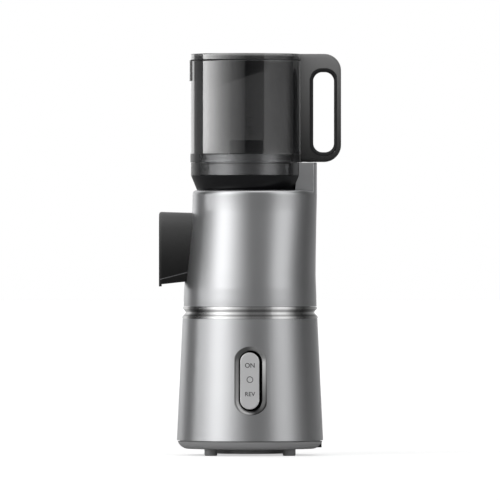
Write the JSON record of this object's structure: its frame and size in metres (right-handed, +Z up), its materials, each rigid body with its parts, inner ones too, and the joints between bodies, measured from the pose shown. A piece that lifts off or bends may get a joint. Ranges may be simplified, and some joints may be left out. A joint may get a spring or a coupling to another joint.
{
  "type": "cold press juicer",
  "caption": "Upright slow juicer: tapered motor base, silver juicing chamber with front hood, tinted hopper with hinged lid and rear handle.",
  "frame": {"origin": "on the base's axis at the surface the feet stand on", "axes": "+Z up, -Y towards the juice hood, +Y towards the handle, +X towards the rocker switch"},
  "size_m": [0.1462, 0.182, 0.4011],
  "materials": {
    "silver_paint": "satin metallic paint",
    "paddle_silver": "satin silver",
    "chrome_trim": "polished",
    "cover_grey": "satin grey moulding",
    "feet_rubber": "matt",
    "black_plastic": "matt",
    "bowl_black": "gloss",
    "tinted_clear": "smoke-tinted clear",
    "collar_silver": "satin silver",
    "handle_grey": "fine satin texture",
    "trim_dark": "soft-touch",
    "spout_grey": "satin",
    "silicone": "matt",
    "steel": "machined",
    "gear_steel": "hobbed",
    "gearbox_alloy": "die cast",
    "copper": "turned"
  },
  "bodies": {
    "base": {"base_shell": "silver_paint", "trim_ring": "chrome_trim", "bottom_cover": "cover_grey", "cord_gland": "black_plastic", "rubber_feet": "feet_rubber", "cover_screws": "steel", "top_deck": "black_plastic", "deck_screws": "steel", "shaft_seal": "silicone", "rocker_frame": "black_plastic", "switch_body": "black_plastic", "control_board": "black_plastic", "motor_end_bell": "black_plastic", "motor_can": "steel", "field_magnets": "steel", "motor_bearings": "steel", "ring_gear": "gear_steel", "gearbox_case": "gearbox_alloy", "gearbox_cover": "gearbox_alloy", "output_bearing": "steel", "isolators": "silicone", "gearbox_screws": "steel"},
    "motor": {"motor_shaft": "steel", "armature_core": "steel", "commutator": "copper", "cooling_fan": "black_plastic"},
    "planet_1": {"planet_gear_1": "gear_steel"},
    "planet_2": {"planet_gear_2": "gear_steel"},
    "planet_3": {"planet_gear_3": "gear_steel"},
    "drive": {"planet_carrier": "steel", "drive_shaft": "steel"},
    "chamber": {"chamber_shell": "silver_paint", "chamber_floor": "black_plastic", "juicing_bowl": "bowl_black", "bowl_head": "tinted_clear", "bowl_seal": "silicone", "strainer_frame": "black_plastic", "strainer_mesh": "steel", "strainer_collar": "collar_silver", "interlock_sensor": "steel", "spout_hood": "handle_grey", "juice_spout": "spout_grey", "cap_pin": "steel", "pulp_chute": "spout_grey", "pulp_plug": "silicone"},
    "cap": {"drip_cap": "spout_grey"},
    "auger": {"auger_screw": "bowl_black", "auger_socket": "steel"},
    "hopper": {"hopper_drum": "tinted_clear", "hopper_floor": "collar_silver", "handle": "handle_grey", "handle_trim": "trim_dark", "handle_magnet": "steel", "handle_screws": "steel", "hinge_pin": "steel"},
    "lid": {"lid": "tinted_clear"},
    "rocker": {"rocker_paddle": "paddle_silver"}
  },
  "joints": [
    {"name": "drive_spin", "type": "hinge", "parent": "base", "child": "drive", "pos_m": [0, -0.0038, 0.12], "axis": [0, 0, 1], "continuous": true},
    {"name": "motor_spin", "type": "hinge", "parent": "base", "child": "motor", "pos_m": [0, -0.0038, 0.05], "axis": [0, 0, 1], "continuous": true},
    {"name": "planet_1_spin", "type": "hinge", "parent": "drive", "child": "planet_1", "pos_m": [0.0216, -0.0038, 0.084], "axis": [0, 0, 1], "continuous": true},
    {"name": "planet_2_spin", "type": "hinge", "parent": "drive", "child": "planet_2", "pos_m": [-0.0108, 0.01491, 0.084], "axis": [0, 0, 1], "continuous": true},
    {"name": "planet_3_spin", "type": "hinge", "parent": "drive", "child": "planet_3", "pos_m": [-0.0108, -0.02251, 0.084], "axis": [0, 0, 1], "continuous": true},
    {"name": "chamber_lift", "type": "slide", "parent": "base", "child": "chamber", "axis": [0, 0, 1], "range_m": [0, 0.06]},
    {"name": "auger_spin", "type": "hinge", "parent": "chamber", "child": "auger", "pos_m": [0, -0.0038, 0.2], "axis": [0, 0, 1], "continuous": true},
    {"name": "cap_flip", "type": "hinge", "parent": "chamber", "child": "cap", "pos_m": [0, -0.085, 0.1759], "axis": [-1, 0, 0], "range_deg": [0, 70]},
    {"name": "hopper_twist", "type": "hinge", "parent": "chamber", "child": "hopper", "pos_m": [0, -0.0038, 0.2932], "axis": [0, 0, 1], "range_deg": [0, 28]},
    {"name": "lid_flip", "type": "hinge", "parent": "hopper", "child": "lid", "pos_m": [0, 0.0552, 0.3981], "axis": [-1, 0, 0], "range_deg": [0, 92]},
    {"name": "rocker_tilt", "type": "hinge", "parent": "base", "child": "rocker", "pos_m": [0.06279, 0.0008, 0.07465], "axis": [0, 1, 0], "range_deg": [-7, 7]}
  ],
  "couplings": [
    {"joint": "motor_spin", "follows": "drive_spin", "ratio": 6},
    {"joint": "planet_1_spin", "follows": "drive_spin", "ratio": -2.5},
    {"joint": "planet_2_spin", "follows": "drive_spin", "ratio": -2.5},
    {"joint": "planet_3_spin", "follows": "drive_spin", "ratio": -2.5},
    {"joint": "auger_spin", "follows": "drive_spin", "ratio": 1}
  ]
}
